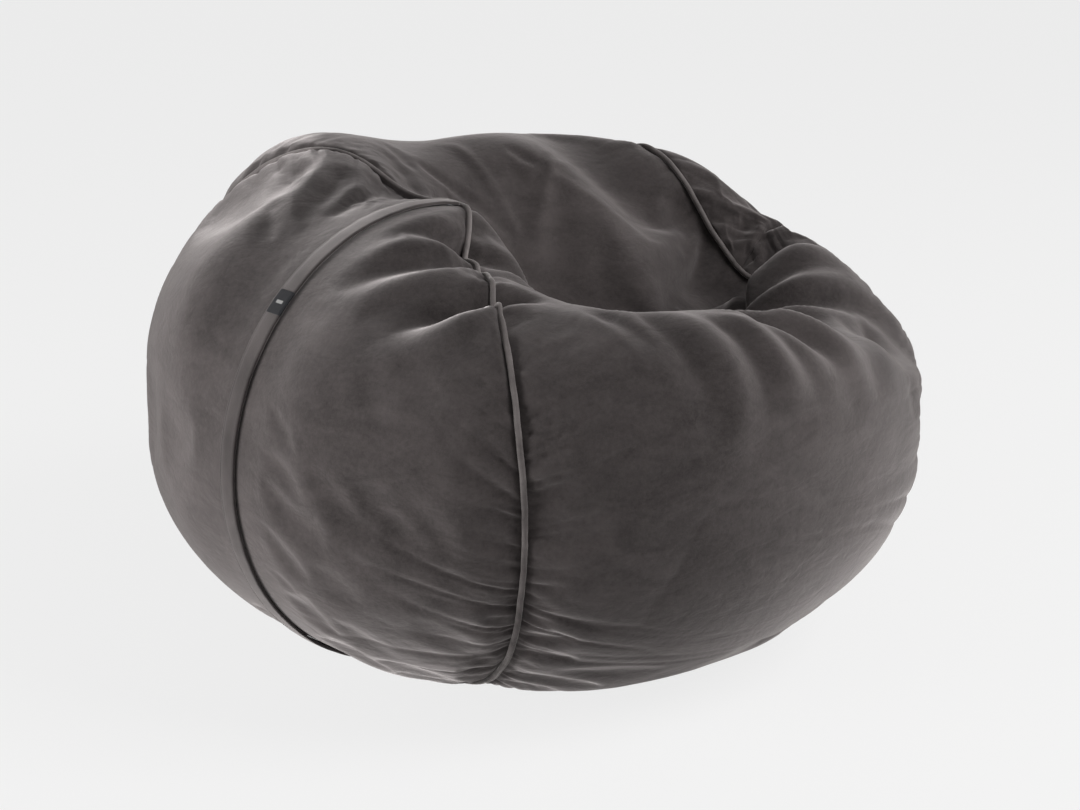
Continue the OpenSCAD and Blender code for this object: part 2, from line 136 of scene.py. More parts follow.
def noise(x, seed, y=0.0):
    """Smooth noise from -1 to 1 that repeats nowhere near, along x and slowly along y."""
    def hashed(i, j):
        h = np.sin(i * 127.1 + j * 311.7 + seed * 74.7) * 43758.5453
        return 2 * (h - np.floor(h)) - 1
    i, j = np.floor(x), np.floor(y)
    u, v = x - i, y - j
    u, v = u * u * (3 - 2 * u), v * v * (3 - 2 * v)
    top = hashed(i, j) * (1 - u) + hashed(i + 1, j) * u
    low = hashed(i, j + 1) * (1 - u) + hashed(i + 1, j + 1) * u
    return top * (1 - v) + low * v


# ---------- folds ----------
# Slack velvet folds where a sitter has pushed it: long soft folds run from the crease of the
# seat and from the dips of the piping. Each fold has three places on the skin (turn, lat), its
# width at either end in mm, and its lift in mm, which is negative for a valley.
zip_side_folds = [
    (129, -29, 123, -39, 113, -48, 16, 26, -10), (120, -44, 112, -51, 104, -56, 14, 20, -8),
    (124, -34, 117, -44, 108, -52, 16, 24, 7), (119, -29, 112, -39, 106, -44, 12, 18, -8),
    (108, -32, 104, -41, 100, -46, 10, 16, -6), (112, -30, 107, -40, 103, -45, 10, 14, 5),
    (95, -52, 97, -57, 99, -61, 8, 12, -4), (88, -52, 92, -58, 95, -62, 8, 12, -4),
    (84, -24, 74, -31, 62, -40, 30, 34, -20), (68, -22, 76, -37, 90, -48, 12, 22, -14),
    (71, -33, 76, -46, 88, -58, 20, 26, 5), (64, -28, 69, -46, 77, -58, 12, 24, -13),
    (60, -34, 62, -46, 67, -58, 22, 28, 5), (48, -28, 51, -43, 52, -55, 11, 26, -30),
    (51, -41, 53, -51, 49, -62, 14, 36, -13), (54, -39, 59, -49, 61, -60, 12, 22, -8),
    (43, -36, 45, -46, 43, -55, 32, 40, 8), (70, -30, 62, -24, 52, -21, 9, 14, 5)]
front_folds = [
    (45, -30, 31, -25, 20, -18, 12, 22, 7), (41, -26, 31, -22, 20, -19, 10, 18, -9),
    (40, -24, 28, -20, 15, -15, 11, 20, 7), (38, -20, 27, -18, 12, -15, 11, 20, -9),
    (38, -15, 24, -13, 11, -12, 14, 24, 7), (35, -10, 23, -8, 10, -9, 11, 20, -9),
    (35, -7, 23, -4, 12, -1, 12, 24, 7), (36, -2, 24, 0, 11, 1, 10, 20, -8),
    (39, -4, 29, 4, 13, 9, 9, 24, -22), (38, 6, 28, 9, 14, 14, 10, 20, 9),
    (44, 24, 30, 19, 15, 14, 12, 22, -9), (43, 31, 31, 25, 13, 19, 14, 26, 8),
    (40, 38, 28, 32, 12, 26, 12, 24, -8),
    (62, 31, 54, 37, 46, 50, 10, 18, -9), (59, 30, 50, 36, 42, 50, 11, 20, 9),
    (54, 27, 46, 34, 37, 47, 9, 18, -10), (50, 25, 42, 32, 31, 42, 10, 22, 8),
    (64, 36, 57, 43, 51, 54, 14, 22, 9), (57, 24, 71, 48, 86, 66, 15, 16, -30)]
back_folds = [
    (113, 51, 104, 53, 94, 54, 16, 26, -9), (108, 47, 100, 45, 90, 43, 22, 30, 7),
    (126, 19, 121, 23, 116, 27, 6, 7, -3.2), (122, 18, 119, 29, 124, 42, 6, 7, 2.8),
    (120, 23, 109, 34, 99, 42, 6, 8, 3.0), (128, -6, 118, 6, 108, 22, 6, 7, -3.0),
    (132, 10, 120, 12, 104, 16, 6, 8, 2.8), (100, -6, 94, 8, 90, 20, 26, 34, 7),
    (98, 10, 92, 24, 88, 36, 20, 30, -8), (126, 30, 116, 24, 110, 12, 6, 7, 2.6)]
far_folds = [
    (100, 61, 90, 58, 82, 52, 9, 13, -10), (96, 60, 88, 57, 81, 50, 9, 12, 6),
    (91, 62, 85, 60, 80, 55, 8, 11, -8), (104, 57, 97, 51, 88, 42, 9, 14, -7),
    (48, 66, 37, 52, 22, 56, 12, 20, -10), (40, 55, 32, 50, 22, 54, 12, 20, 7),
    (60, 64, 44, 68, 26, 70, 14, 22, -8), (84, 66, 78, 72, 60, 78, 12, 20, -8),
    (118, 62, 106, 66, 92, 72, 14, 22, -8)]
lying_folds = [
    (318, -20, 328, -8, 331, 6, 14, 20, -5), (326, 2, 334, 12, 340, 26, 14, 20, -6),
    (300, -60, 306, -62, 318, -56, 14, 20, -5), (250, -66, 262, -64, 280, -66, 14, 22, -5),
    (212, -20, 208, 0, 212, 24, 16, 24, -6), (196, -34, 186, -10, 190, 16, 30, 44, 6),
    (160, -10, 166, 8, 176, 22, 26, 40, -7), (150, 16, 158, 26, 172, 30, 24, 36, 6),
    (150, -30, 160, -20, 176, -14, 20, 34, -7), (224, 10, 220, 30, 226, 44, 14, 22, -5)]


def fold_height(p, places, width_a, width_b, lift):
    """How far this fold lifts each point p off the skin, in metres."""
    t = np.linspace(0, 1, 15)[:, None]
    a, b, c = (np.array(places[k:k + 2], float) for k in (0, 2, 4))
    line = a * (1 - t) * (1 - 2 * t) + b * 4 * t * (1 - t) + c * t * (2 * t - 1)
    line = skin(direction(line[:, 0], line[:, 1]))
    lift, wide = lift / 1000, np.array([width_a, width_b]) / 1000
    edge = 4 * wide.max()
    near = np.all((p > line.min(0) - edge) & (p < line.max(0) + edge), -1)
    q = p[near]
    best, share = np.full(len(q), 9.0), np.zeros(len(q))
    for k in range(len(line) - 1):
        step = line[k + 1] - line[k]
        s = np.clip((q - line[k]) @ step / (step @ step), 0, 1)
        far = np.linalg.norm(q - line[k] - s[:, None] * step, axis=-1)
        closer = far < best
        best, share = np.where(closer, far, best), np.where(closer, (k + s) / 14, share)
    x = best / (wide[0] + (wide[1] - wide[0]) * share)
    taper = blend(0, 0.22, share) * (1 - blend(0.45, 1, share))
    if lift < 0:
        groove = np.exp(0.45 - np.sqrt(x * x + 0.2)) * (1 - blend(2.2, 3.8, x))
        shape = groove - 0.28 * bell((x - 2.1) / 0.7)
    else:
        shape = bell(x)
    height = np.zeros(p.shape[:-1])
    height[near] = lift * taper * shape
    return height


def zip_degrees(p):
    """Angle about the zip's axis: 0 level with it on the zip side, 90 straight above it."""
    return np.degrees(np.arctan2(p[..., 2] - zip_z, zip_x - p[..., 0]))


def relief(p):
    """All the folds together; along the zip the cover lies smooth."""
    height = 0
    for f in zip_side_folds + front_folds + back_folds + far_folds + lying_folds:
        height = height + fold_height(p, f[:6], *f[6:])
    return height * loose(p)


def loose(p):
    """0 along the zip, where the tapes hold the cover, and 1 away from it."""
    deg = zip_degrees(p)
    held = (1 - blend(0.024, 0.085, np.abs(p[..., 1]))) * (1 - blend(105, 119, deg))
    return 1 - held * (1 - blend(zip_low + 3, zip_low + 18, -deg)) * (p[..., 0] < 0)


# ---------- cover's cut ----------
# Grids of points on the cover: the band runs right round, and each side panel is two halves
# that meet in its middle seam and at the ring seam. Rows follow the ring seams.
rows_half, band_cols, side_cols = 132, 80, 44


def turn_of(share):
    """Turn of the row at this share of the way round, from the top over the back, base and front.
    Rows lie closer together low on the front, where the seams pucker most."""
    t = np.clip(2 * np.asarray(share, float) - 1, 0, 1)
    nearer = 0.42 / (2 * np.pi) * (np.sin(2 * np.pi * (t - 0.44)) + np.sin(2 * np.pi * 0.44))
    return 90 + 180 * (np.minimum(2 * np.asarray(share, float), 1) + t - nearer)


def half_turn(i, half):
    """The same for half a side panel, where i runs from 0 at the top to 1 at the base."""
    return turn_of(i / 2) if half > 0 else turn_of(1 - i / 2) - 360


def band_places(rows, cols):
    """Directions of the band, rows right round from the base over the back."""
    turn = turn_of(np.arange(rows) / rows)
    j = np.linspace(-1, 1, cols + 1)
    lat = np.where(j < 0, -j * ring_lat(turn, -1)[:, None], j * ring_lat(turn, 1)[:, None])
    return direction(turn[:, None] + 0 * j, lat)


def side_places(side, half, rows, cols):
    """Directions of half a side panel, from its middle seam to the ring seam."""
    i = np.linspace(0, 1, rows + 1)
    turn = half_turn(i, half)
    ring = direction(turn, ring_lat(turn, side))
    top, low = 90 - abs(float(ring_lat(90, side))), abs(float(ring_lat(270, side))) - 90
    a = np.radians(top + (low - top) * i)
    mid = np.stack([side * np.cos(a), 0 * a, np.sin(a)], -1)
    w = np.arccos(np.clip(np.sum(mid * ring, -1), -1, 1))[:, None, None]
    v = np.linspace(0, 1, cols + 1)[None, :, None]
    w = np.maximum(w, 1e-6)
    d = (np.sin(w * (1 - v)) * mid[:, None] + np.sin(w * v) * ring[:, None]) / np.sin(w)
    d[0], d[-1] = ring[0], ring[-1]
    return unit(d)


halves = [(side, half) for side in (-1, 1) for half in (-1, 1)]


def finer(grid, round_rows):
    """A grid of twice the rows and columns, with new points on a smooth curve between."""
    if round_rows:
        before, after, next2 = np.roll(grid, 1, 0), np.roll(grid, -1, 0), np.roll(grid, -2, 0)
        rows = np.stack([grid, (9 * (grid + after) - before - next2) / 16], 1)
        grid = rows.reshape(-1, *grid.shape[1:])
    else:
        grid = finer_columns(grid.transpose(1, 0, 2)).transpose(1, 0, 2)
    return finer_columns(grid)


def finer_columns(grid):
    padded = np.concatenate([2 * grid[:, :1] - grid[:, 1:2], grid, 2 * grid[:, -1:] - grid[:, -2:-1]], 1)
    made = np.empty((grid.shape[0], 2 * grid.shape[1] - 1, grid.shape[2]))
    made[:, ::2] = grid
    made[:, 1::2] = (9 * (padded[:, 1:-2] + padded[:, 2:-1]) - padded[:, :-3] - padded[:, 3:]) / 16
    return made


def grid_quads(rows, cols, round_rows=False, flip=False):
    i, j = np.meshgrid(np.arange(rows if round_rows else rows - 1), np.arange(cols - 1), indexing="ij")
    a, b = i * cols + j, (i + 1) % rows * cols + j
    quads = np.stack([a, a + 1, b + 1, b], -1).reshape(-1, 4)
    return quads[:, ::-1] if flip else quads


def mesh_from(name, points, faces, smooth=True):
    mesh = bpy.data.meshes.new(name)
    mesh.from_pydata(np.asarray(points, float).reshape(-1, 3).tolist(), [],
                     faces.tolist() if hasattr(faces, "tolist") else faces)
    mesh.validate()
    mesh.polygons.foreach_set("use_smooth", [smooth] * len(mesh.polygons))
    made = bpy.data.objects.new(name, mesh)
    bpy.context.scene.collection.objects.link(made)
    return made


# ---------- settling ----------
# The cover is cut a little bigger than the bag and its seams are drawn in, so the velvet
# buckles into puckers. A cloth simulation finds them; loose springs hold it to the filled shape.
coarse = [band_places(2 * rows_half, band_cols)] + [
    side_places(side, half, rows_half, side_cols) for side, half in halves]
starts = []
for places in coarse:
    skin_points = skin(places)
    starts.append(skin_points + relief(skin_points)[..., None] * out(places))


def settled():
    """Each grid's movement under the simulation."""
    points, faces, first = [], [], 0
    for k, start in enumerate(starts):
        n, m = start.shape[:2]
        # the pressure fills the band and draws the side panels in, whose faces are turned inward
        turned = k > 0 and halves[k - 1][0] * halves[k - 1][1] < 0
        faces.append(grid_quads(n, m, k == 0, turned) + first)
        points.append(start.reshape(-1, 3))
        first += n * m
    points, faces = np.concatenate(points), np.concatenate(faces)
    same_point = 2e-4
    key = np.round(points / same_point).astype(np.int64)
    _, keep, back = np.unique(key, axis=0, return_index=True, return_inverse=True)
    back = back.reshape(-1)
    faces = back[faces]
    good = [list(dict.fromkeys(f)) for f in faces.tolist()]
    cloth = mesh_from("settling", points[keep], [f for f in good if len(f) > 2])
    seam, first = np.zeros(len(points)), 0
    for k, start in enumerate(starts):
        n, m = start.shape[:2]
        from_seam = np.arange(m) if k else np.minimum(np.arange(m), m - 1 - np.arange(m))
        from_seam = m - 1 - from_seam if k else from_seam
        seam[first:first + n * m] = np.broadcast_to(np.exp(-(from_seam / 1.5) ** 2), (n, m)).ravel()
        first += n * m
    seam, place = seam[keep], points[keep]
    held = 0.07 + 0.20 * seam + 0.5 * (1 - loose(place)) + 0.4 * (1 - blend(0.0, 0.05, place[:, 2]))
    # 0 is cut 2.5% too big, 0.3 just right and 1 drawn in by 6%
    low_front = bell((place[:, 2] - 0.16) / 0.13) * blend(0.1, -0.3, place[:, 1])
    belly = bell((place[:, 0] - 0.10) / 0.30) * blend(-0.30, -0.42, place[:, 1])
    drawn = 0.30 * belly * (1 - seam) + seam * (0.55 + 0.45 * low_front)
    by_zip = bell((place[:, 1] - 0.08) / 0.17) * blend(-0.15, -0.30, place[:, 0])
    drawn = drawn + by_zip * (0.32 - drawn)
    for name, weights in (("held", np.minimum(held, 1)), ("drawn", drawn)):
        group = cloth.vertex_groups.new(name=name)
        for w in np.unique(np.round(weights, 2)):
            if w > 0:
                group.add(np.nonzero(np.round(weights, 2) == w)[0].tolist(), float(w), "REPLACE")
    sim = cloth.modifiers.new("settling", "CLOTH")
    s = sim.settings
    s.quality, s.mass, s.air_damping = 5, 0.3, 4
    s.tension_stiffness = s.compression_stiffness = 15
    s.shear_stiffness, s.bending_stiffness = 5, 3.5
    s.tension_damping = s.compression_damping = s.shear_damping = 5
    s.effector_weights.gravity = 0
    s.vertex_group_mass, s.pin_stiffness = "held", 2.0
    s.vertex_group_shrink, s.shrink_min, s.shrink_max = "drawn", -0.025, 0.06
    s.use_pressure, s.uniform_pressure_force = True, 0.5
    sim.collision_settings.use_collision = False
    shots = 18
    sim.point_cache.frame_start, sim.point_cache.frame_end = 1, shots
    for shot in range(1, shots + 1):
        bpy.context.scene.frame_set(shot)
    ready = cloth.evaluated_get(bpy.context.evaluated_depsgraph_get()).to_mesh()
    after = np.empty(len(ready.vertices) * 3)
    ready.vertices.foreach_get("co", after)
    moved = after.reshape(-1, 3) - place
    bpy.data.objects.remove(cloth)
    bpy.context.scene.frame_set(1)
    furthest = 0.016
    moved = moved * np.minimum(1, furthest / np.maximum(np.linalg.norm(moved, axis=-1), 1e-9))[:, None]
    moved *= loose(place)[:, None]
    moved = moved[back]
    made, first = [], 0
    for start in starts:
        n, m = start.shape[:2]
        made.append(moved[first:first + n * m].reshape(n, m, 3))
        first += n * m
    return made


movement = settled()


# ---------- surface ----------
# The velvet as it shows: the filled shape, the folds, what settling moved, and the puckers that
# the thread draws beside each seam, where the panels roll down to the stitches.
fine = [band_places(4 * rows_half, 2 * band_cols)] + [
    side_places(side, half, 2 * rows_half, 2 * side_cols) for side, half in halves]


def gathers(along, far, seed, strong):
    """Puckers across a seam, by the distance along it and away from it."""
    height, drift = 0, 0.3 * noise(along / 0.11, seed + 9)
    for k, (wave, reach, lift) in enumerate([(0.0085, 0.032, 0.0054), (0.017, 0.060, 0.0095),
                                            (0.034, 0.125, 0.0105)]):
        n = noise((along + drift * far) / wave, seed + 3 * k, far / (3 * reach) + 0.5 * drift)
        far_as = far * (1 + 0.6 * noise(along / 0.08, seed + 5 + k))
        height = height + lift * (0.25 - np.exp(-np.abs(n) / 0.17)) * np.exp(-far_as / reach)
    patchy = 0.65 + 0.35 * noise(along / 0.16, seed + 13)
    return height * strong * patchy * (1 - np.exp(-far / 0.006))


def seam_roll(far):
    """How far the velvet rolls down to the stitches, by the distance from the seam."""
    return -0.0030 * np.exp(-(far / 0.008) ** 2) - 0.0022 * np.exp(-far / 0.026)


def strength(turn):
    """Puckers are strongest where the seam bends most, low on the front and on the base."""
    turn = turn % 360
    return 0.30 + 1.10 * bell(turn_gap(turn, 350) / 30) + 0.4 * bell(turn_gap(turn, 190) / 40)


def run_of(line):
    """Distance along a line of points, from its first."""
    steps = np.linalg.norm(np.diff(line, axis=0), axis=-1)
    return np.concatenate([[0], np.cumsum(steps)])


def half_slit(p):
    """Half the width that the two panels leave open between them, over the zip's coils."""
    return 0.010 * (1 - 0.995 * blend(zip_low, zip_low + 5, -zip_degrees(p)))


velvet_points, velvet_bare = [], []
for k, places in enumerate(fine):
    p, n = skin(places), out(places)
    height = relief(p)
    if k == 0:
        turn = turn_of(np.arange(len(p))[:, None] / len(p))
        for edge, seed in ((0, 11), (-1, 37)):
            along = run_of(p[:, edge])[:, None]
            far = np.linalg.norm(p - p[:, edge:edge + 1 or None], axis=-1)
            closing = 1 - blend(0.92, 1, along / along.max())
            height = height + gathers(along, far, seed, strength(turn)) * closing + seam_roll(far)
    else:
        side, half = halves[k - 1]
        turn = half_turn(np.linspace(0, 1, len(p))[:, None], half)
        along = run_of(p[:, -1])[:, None]
        far = np.linalg.norm(p - p[:, -1:], axis=-1)
        height = height + (gathers(along, far, 50 + k, strength(turn)) + seam_roll(far)) * loose(p)
        if side > 0:
            along, far = run_of(p[:, 0])[:, None], np.linalg.norm(p - p[:, :1], axis=-1)
            height = height + 0.8 * gathers(along, far, 70 + k, 1) + seam_roll(far)
    p = p + height[..., None] * n + finer(movement[k], k == 0)
    if k and halves[k - 1][0] < 0:
        v = np.linspace(0, 1, p.shape[1])[None]
        p[..., 1] += halves[k - 1][1] * half_slit(p) * (1 - v) ** 2
    p[..., 2] = np.maximum(p[..., 2], 0.0)
    velvet_points.append(p)
    velvet_bare.append(n)


# ---------- velvet ----------
# Short-pile velvet on a knitted back. The pile is brushed this way and that by sitting, which
# leaves soft lighter and darker patches, and it shines at its edges, where it is seen sideways.
# Broad lighter patches on the seat back, the front lip and the zip side, and a darker one over
# the top of the zip side, are painted light and shade.
class Wire:
    """A socket of a material's nodes. Sums, products and powers of it add Math nodes."""

    def __init__(self, tree, socket=None):
        self.tree, self.socket = tree, socket

    def node(self, kind, settings=None, inputs=None, out=0):
        made = self.tree.nodes.new(kind)
        for key, value in (settings or {}).items():
            if key == "stops":
                ramp = made.color_ramp.elements
                while len(ramp) < len(value):
                    ramp.new(0.5)
                for stop, (at, colour) in zip(ramp, value):
                    stop.position, stop.color = at, (*colour, 1)
            else:
                setattr(made, key, value)
        for key, value in (inputs or {}).items():
            if isinstance(value, Wire):
                self.tree.links.new(value.socket, made.inputs[key])
            else:
                made.inputs[key].default_value = value
        return Wire(self.tree, made.outputs[out])

    def part(self, axis):
        return self.node("ShaderNodeSeparateXYZ", None, {"Vector": self}, out=axis)

    def maths(self, operation, *others):
        return self.node("ShaderNodeMath", {"operation": operation}, dict(enumerate((self, *others))))

    def __add__(self, other):
        return self.maths("ADD", other)

    def __sub__(self, other):
        return self.maths("SUBTRACT", other)

    def __rsub__(self, other):
        return self.maths("MULTIPLY_ADD", -1.0, other)

    def __mul__(self, other):
        return self.maths("MULTIPLY", other)

    __radd__, __rmul__ = __add__, __mul__

    def within(self, low, high):
        """0 at low, 1 at high, and held there."""
        return self.node("ShaderNodeMapRange", None, {"Value": self, "From Min": low, "From Max": high})

    def between(self, low, high):
        """The colour low where this is 0 and high where it is 1."""
        return self.node("ShaderNodeMix", {"data_type": "RGBA"},
                         {0: self, 6: low if isinstance(low, Wire) else (*low, 1),
                          7: high if isinstance(high, Wire) else (*high, 1)}, out=2)

    def stretched(self, scale, turned=(0, 0, 0)):
        return self.node("ShaderNodeMapping", None, {"Vector": self, "Scale": scale, "Rotation": turned})

    def grain(self, scale, detail=2.0, rough=0.5, twist=0.0):
        return self.node("ShaderNodeTexNoise", None, {"Vector": self, "Scale": scale, "Detail": detail,
                                                      "Roughness": rough, "Distortion": twist})

    def relief(self, distance, strength=1.0, over=None):
        inputs = {"Height": self, "Distance": distance, "Strength": strength}
        if over is not None:
            inputs["Normal"] = over
        return self.node("ShaderNodeBump", None, inputs)


def finish_of(name, **sockets):
    """A place on the object to start a material's nodes from, and a call that joins them to it."""
    made = bpy.data.materials.new(name)
    made.use_nodes = True
    tree = made.node_tree
    shader = tree.nodes["Principled BSDF"]
    for key, value in sockets.items():
        key = key.replace("_", " ")
        shader.inputs[key].default_value = (*value, 1) if isinstance(value, tuple) else value

    def join(**wires):
        for key, wire in wires.items():
            tree.links.new(wire.socket, shader.inputs[key.replace("_", " ")])
        return made
    return Wire(tree).node("ShaderNodeTexCoord", out="Object"), join


# painted light and shade: lighter where the seat back, the front lip and the zip side catch the light,
# darker over the top; the place, how far it reaches and how much
painted_light_and_shade_places = [((0.0, -0.50, 0.49), 0.26, 0.45), ((0.17, 0.11, 0.50), 0.27, 0.65),
                  ((-0.27, 0.06, 0.66), 0.24, -0.35), ((-0.54, 0.02, 0.32), 0.30, 0.35)]


def velvet(name, shade=1.0, seed=(0.0, 0.0, 0.0)):
    here, join = finish_of(name, Sheen_Weight=0.72, Sheen_Roughness=0.50,
                           Sheen_Tint=(0.87, 0.81, 0.80), Specular_IOR_Level=0.10)
    at = here.node("ShaderNodeMapping", None, {"Vector": here, "Location": seed})
    brushed = at.grain(4.2, 3, 0.55, 0.7).within(0.36, 0.66)
    patches = at.stretched((1, 1, 2.1)).grain(13, 3, 0.6, 0.9).within(0.35, 0.68)
    crushed = at.stretched((1, 1, 1.6), (0.2, 0.4, 0)).grain(34, 2, 0.55, 0.6).within(0.3, 0.72)
    mottled = at.grain(150, 3, 0.75)
    pile = at.grain(620, 2, 0.7)
    nap_and_painted_light = brushed * 0.42 + patches * 0.38 + crushed * 0.20
    # the pile's own random patches, with the painted light and shade added in
    for place, far, gain in painted_light_and_shade_places:
        gap = here.node("ShaderNodeVectorMath", {"operation": "DISTANCE"}, {0: here, 1: place}, out=1)
        nap_and_painted_light = nap_and_painted_light + gain * (1 - gap.within(0.05, far))
    # the shade argument scales the colour up for a side in light and down for a side in shadow: painted
    # light
    dark = tuple(shade * c for c in (0.0232, 0.0193, 0.0190))
    light = tuple(shade * c for c in (0.0850, 0.0725, 0.0712))
    colour = (nap_and_painted_light * 0.72 + (pile - 0.5) * 0.40 + (mottled - 0.5) * 0.75 + 0.06).between(dark, light)
    weave = at.grain(1500, 1, 0.5)
    soft = (crushed * 0.6 + patches * 0.8 + mottled * 0.5).relief(0.0010, 0.6)
    return join(Base_Color=colour, Roughness=0.93 - nap_and_painted_light * 0.13,
                Normal=(pile * 0.7 + weave * 0.3).relief(0.0006, 0.35, over=soft))


velvet_band = velvet("velvet on the band")
# the zip side's copy is painted lighter for the light on it, and the far side's copy darker for its
# shadow
velvet_zip = velvet("velvet on the zip side", 1.04, (0.7, 0.3, 0.2))
velvet_far = velvet("velvet on the far side", 0.98, (1.9, 0.8, 0.5))


# ---------- band ----------
# The wide band goes right round: front, seat, back and base. It is one length of velvet, and
# its two edges are sewn to the side panels with piping between.
def fabric_piece(name, points, faces, material, slot, *nodes):
    made = mesh_from(name, points, faces)
    made.data.materials.append(material)
    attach(made, "bag")
    if nodes:
        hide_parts(*nodes)
    return made


p = velvet_points[0]
band = fabric_piece("band_velvet", p, grid_quads(*p.shape[:2], round_rows=True), velvet_band,
                    "velvet", "band_front", "band_back")


# ---------- side panels ----------
# Each round side is two halves of velvet. On the far side they are sewn together, and on the
# zip side a zip joins them.
for k, (side, half) in enumerate(halves):
    p = velvet_points[k + 1]
    name = ("zip" if side < 0 else "far") + "_panel_" + ("front" if half < 0 else "back")
    panel = fabric_piece(name + "_velvet", p, grid_quads(*p.shape[:2], flip=side * half > 0),
                         velvet_zip if side < 0 else velvet_far, "velvet", name)


# ---------- piping ----------
# A bias strip of the same velvet is folded round a cotton cord and caught in each ring seam,
# so it stands out of the seam as a thin roll, a little crimped by the stitches.
piping_r, cord_r, cord_rise, piping_out = 0.0040, 0.0026, 0.0015, 0.0052


def round_part(radius, turns):
    return [(radius * math.cos(math.radians(a)), cord_rise + radius * math.sin(math.radians(a)))
            for a in turns]


# across and out: up from the two raw edges, round the cord and back
piping_shape = ([(0.0010, -0.0070), (0.0016, -0.0034)] + round_part(piping_r, range(-50, 231, 28))
                + [(-0.0016, -0.0034), (-0.0010, -0.0070)])
cord_shape = round_part(cord_r, range(0, 360, 45))
piping_rows = 2 * len(velvet_points[0])
piping_turn = turn_of(np.arange(piping_rows) / piping_rows)


def ring_frame(side):
    """Where a ring seam runs on the finished cover, its way across and its way out."""
    band_points = velvet_points[0][:, 0 if side < 0 else -1]
    line = band_points + piping_out * velvet_bare[0][:, 0 if side < 0 else -1]
    between = (9 * (line + np.roll(line, -1, 0)) - np.roll(line, 1, 0) - np.roll(line, -2, 0)) / 16
    line = np.stack([line, between], 1).reshape(-1, 3)
    away = out(direction(piping_turn, ring_lat(piping_turn, side)))
    ahead = unit(np.roll(line, -1, 0) - np.roll(line, 1, 0))
    across = unit(np.cross(ahead, away))
    away = unit(np.cross(across, ahead))
    return line, across, away


def swept(line, across, away, shape, swell=1.0):
    """A cross-section carried along a line, as a grid of points."""
    swell = np.broadcast_to(swell, (len(line),))[:, None, None]
    shape = np.asarray(shape)[None] * swell
    return line[:, None] + across[:, None] * shape[..., :1] + away[:, None] * shape[..., 1:2]


at, join = finish_of("piping velvet", Sheen_Weight=0.9, Sheen_Roughness=0.34,
                     Sheen_Tint=(0.92, 0.88, 0.85), Specular_IOR_Level=0.2)
rubbed = at.grain(26, 3, 0.6, 0.4).within(0.3, 0.7)
crimps = at.grain(190, 2, 0.6)
# the piping is painted lighter higher up, where light falls from above: a painted highlight
painted_light_from_above = at.part("Z").within(0.34, 0.60)
piping_velvet = join(
    Base_Color=(rubbed * 0.4 + crimps * 0.2 + painted_light_from_above * 0.4).between(
        (0.040, 0.0342, 0.0335), (0.250, 0.224, 0.219)),
    Roughness=0.88 - rubbed * 0.12, Normal=crimps.relief(0.0012, 0.5))
at, join = finish_of("cotton cord", Roughness=0.9, Sheen_Weight=0.2)
strands = at.grain(420, 2, 0.6)
cotton = join(Base_Color=strands.between((0.62, 0.58, 0.50), (0.78, 0.75, 0.68)),
              Normal=strands.relief(0.0008, 0.6))
for side, word, strip in ((-1, "zip", 2.70), (1, "far", 2.30)):
    line, across, away = ring_frame(side)
    along = run_of(line)
    wobble = 0.0009 * noise(along / 0.055, 90 + side) + 0.0003 * noise(along / 0.016, 93 + side)
    closing = (1 - blend(0.97, 1, along / along[-1])) * blend(0, 0.03, along / along[-1])
    line = line + across * (wobble * closing)[:, None]
    swell = 1 + closing * (0.03 * noise(along / 0.012, 95 + side) + 0.05 * noise(along / 0.06, 97 + side))
    p = swept(line, across, away, piping_shape, swell)
    p[..., 2] = np.maximum(p[..., 2], 0.0)
    sleeve = fabric_piece(
        word + "_piping_velvet", p, grid_quads(*p.shape[:2], round_rows=True, flip=True),
        piping_velvet, "piping", word + "_piping")
    p = swept(line, across, away, cord_shape + cord_shape[:1])[::2]
    p[..., 2] = np.maximum(p[..., 2], 0.0012)
    fabric_piece(word + "_piping_filler", p, grid_quads(*p.shape[:2], round_rows=True, flip=True),
                 cotton, "cord", word + "_piping_cord")


# ---------- flap ----------
# A doubled strip of velvet hides the zip. It is sewn down along its back edge with a row of
# topstitching, and its front edge lies free, a little wavy, with a soft rolled fold.
flap_low, flap_high, flap_r = -78.0, 102.35, 0.325
flap_angle = np.linspace(flap_low, flap_high, 331)
flap_run = np.radians(flap_angle - flap_low) * flap_r


def on_zip(angle, radius, y):
    """A point by its angle above level about the zip's axis, its radius and its Y."""
    a = np.radians(angle)
    return np.stack([zip_x - radius * np.cos(a), y + 0 * a, zip_z + radius * np.sin(a)], -1)


# section from the sewn edge over the top to the free edge, and back below: Y and radius in mm
flap_section = [(15.2, 320.4), (15.6, 322.4), (15.0, 324.6), (13.6, 325.7), (12.0, 325.5), (10.4, 326.0),
                (6, 326.4), (0, 326.5), (-6, 326.4), (-11, 326.3), (-13.6, 326.2), (-15.2, 325.4),
                (-15.7, 323.9), (-15.2, 322.4), (-14.0, 322.0), (-11, 322.6), (-4, 323.3), (4, 323.5),
                (9.5, 323.4), (11.0, 321.6), (12.6, 320.4)]
taper = blend(0, 0.02, flap_run) * (1 - blend(flap_run[-1] - 0.02, flap_run[-1], flap_run))
p = []
for k, (y, radius) in enumerate(flap_section):
    free = 1 - blend(-15, 4, y)
    wave = 0.5 * noise(flap_run / 0.045, 120) * free + 0.25 * noise(flap_run / 0.017, 121 + (k > 12))
    sway = 0.8 * noise(flap_run / 0.06, 124) * free
    p.append(on_zip(flap_angle, (radius + wave * taper) / 1000, (y + sway * taper) / 1000))
p = np.stack(p + p[:1], 1)
p[..., 2] = np.maximum(p[..., 2], 0.0005)
at, join = finish_of("flap velvet", Sheen_Weight=0.85, Sheen_Roughness=0.50,
                     Sheen_Tint=(0.87, 0.81, 0.80), Specular_IOR_Level=0.10)
brushed = at.grain(9, 3, 0.6, 0.6).within(0.35, 0.68)
pile = at.grain(620, 2, 0.7)
